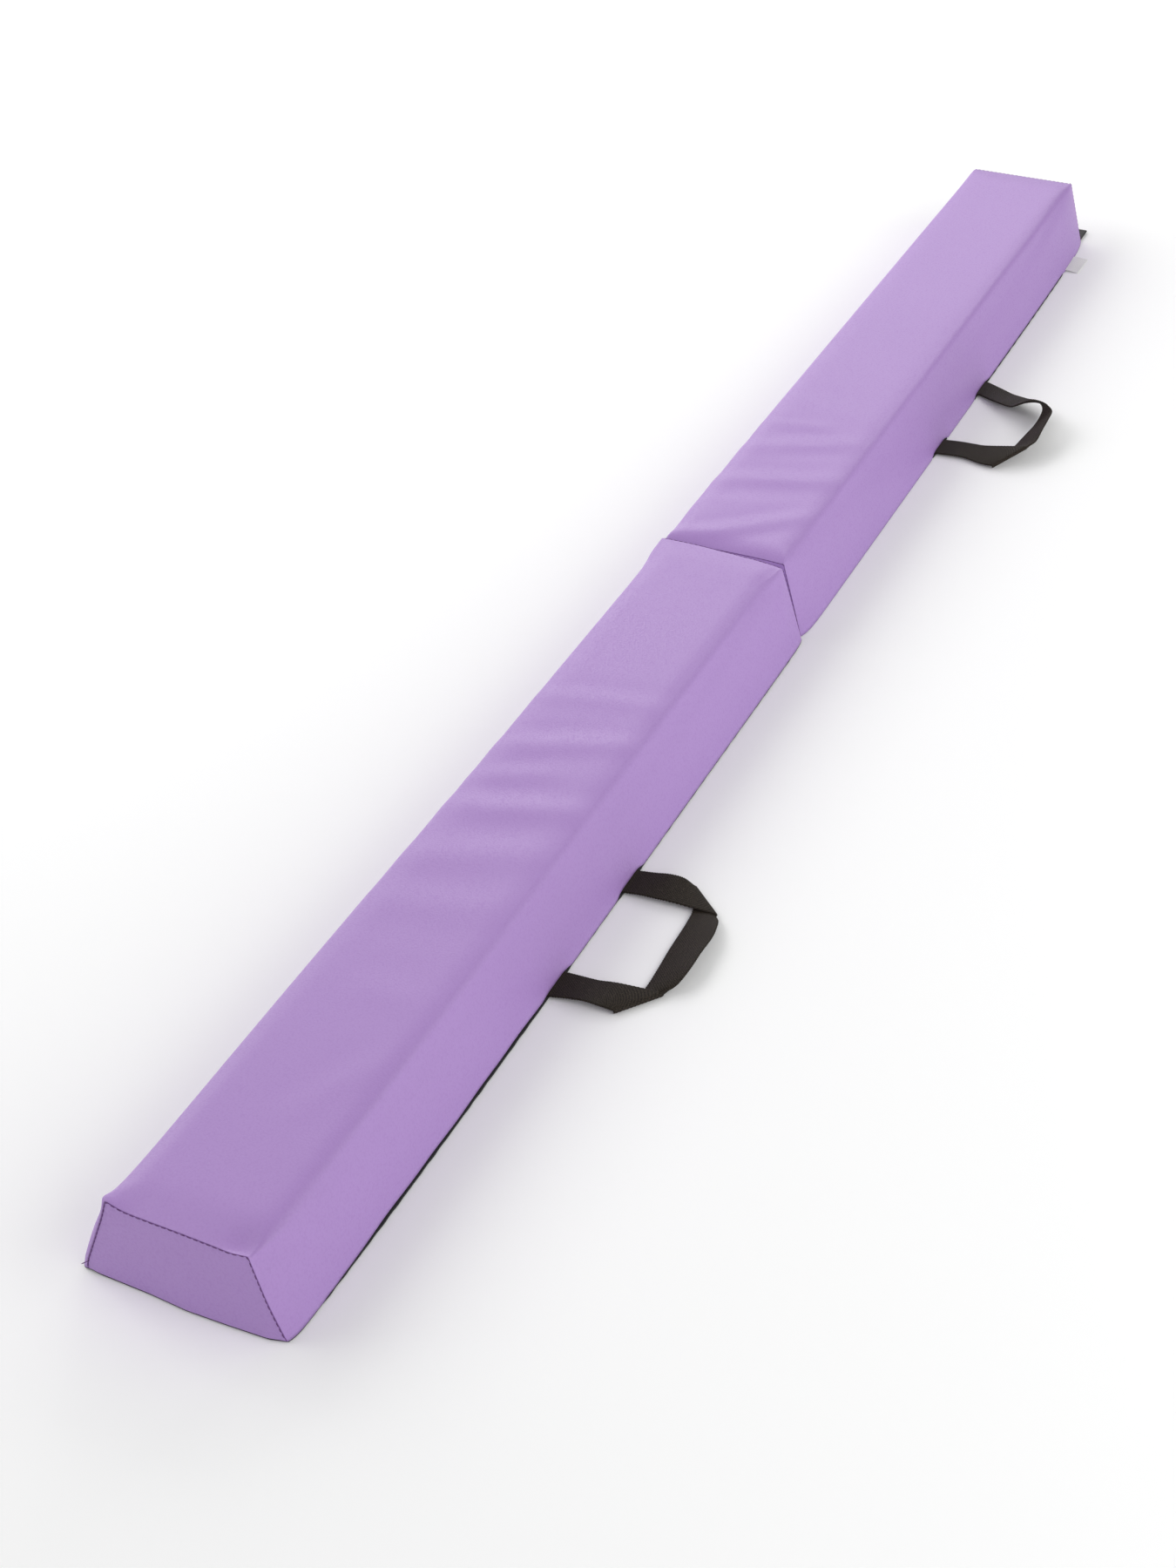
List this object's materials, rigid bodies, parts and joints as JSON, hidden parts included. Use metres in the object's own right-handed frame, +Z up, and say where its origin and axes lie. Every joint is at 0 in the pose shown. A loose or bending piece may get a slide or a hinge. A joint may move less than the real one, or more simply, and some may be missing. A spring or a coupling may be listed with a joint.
{
  "type": "folding floor balance beam",
  "caption": "Low foam balance beam for floor practice that folds base to base on a cloth hinge, with webbing carrying handles on one side.",
  "frame": {"origin": "on the floor at the middle of the fold line, where the ends of the two halves meet", "axes": "+X along the beam from the near half to the far half and its link flap, +Z up, and the carrying handles on the -Y side"},
  "size_m": [1.828, 0.2542, 0.07],
  "materials": {
    "purple_cover": "coated cloth with a fine embossed grain, satin",
    "foam": "closed-cell foam, matt",
    "base_cloth": "non-slip coated cloth with a fine grid, matt",
    "webbing": "flat woven strap, matt",
    "hook_and_loop": "hook-and-loop tape, matt",
    "tag_cloth": "blank satin label cloth"
  },
  "bodies": {
    "near_half": {"near_cover": "purple_cover", "near_outer_panel": "purple_cover", "near_joint_panel": "purple_cover", "near_upper_foam": "foam", "near_lower_foam": "foam", "near_base": "base_cloth", "near_hinge_leaf": "base_cloth", "near_loop_strip": "hook_and_loop", "near_handle_tails": "webbing"},
    "far_half": {"far_cover": "purple_cover", "far_outer_panel": "purple_cover", "far_joint_panel": "purple_cover", "far_upper_foam": "foam", "far_lower_foam": "foam", "far_base": "base_cloth", "far_hinge_leaf": "base_cloth", "far_handle_tails": "webbing", "link_tab": "base_cloth", "care_tag": "tag_cloth"},
    "near_handle": {"near_handle": "webbing"},
    "far_handle": {"far_handle": "webbing"},
    "link_flap": {"link_flap": "base_cloth", "hook_strip": "hook_and_loop"}
  },
  "joints": [
    {"name": "fold", "type": "hinge", "parent": "near_half", "child": "far_half", "pos_m": [0, 0, -0.0003], "axis": [0, 1, 0], "range_deg": [0, 180]},
    {"name": "near_handle_swing", "type": "hinge", "parent": "near_half", "child": "near_handle", "pos_m": [-0.452, -0.0835, 0.0024], "axis": [-1, 0, 0], "range_deg": [0, 90]},
    {"name": "far_handle_swing", "type": "hinge", "parent": "far_half", "child": "far_handle", "pos_m": [0.441, -0.0835, 0.0024], "axis": [-1, 0, 0], "range_deg": [0, 90]},
    {"name": "flap_lift", "type": "hinge", "parent": "far_half", "child": "link_flap", "pos_m": [0.9012, 0, 0.0021], "axis": [0, -1, 0], "range_deg": [0, 80]}
  ]
}
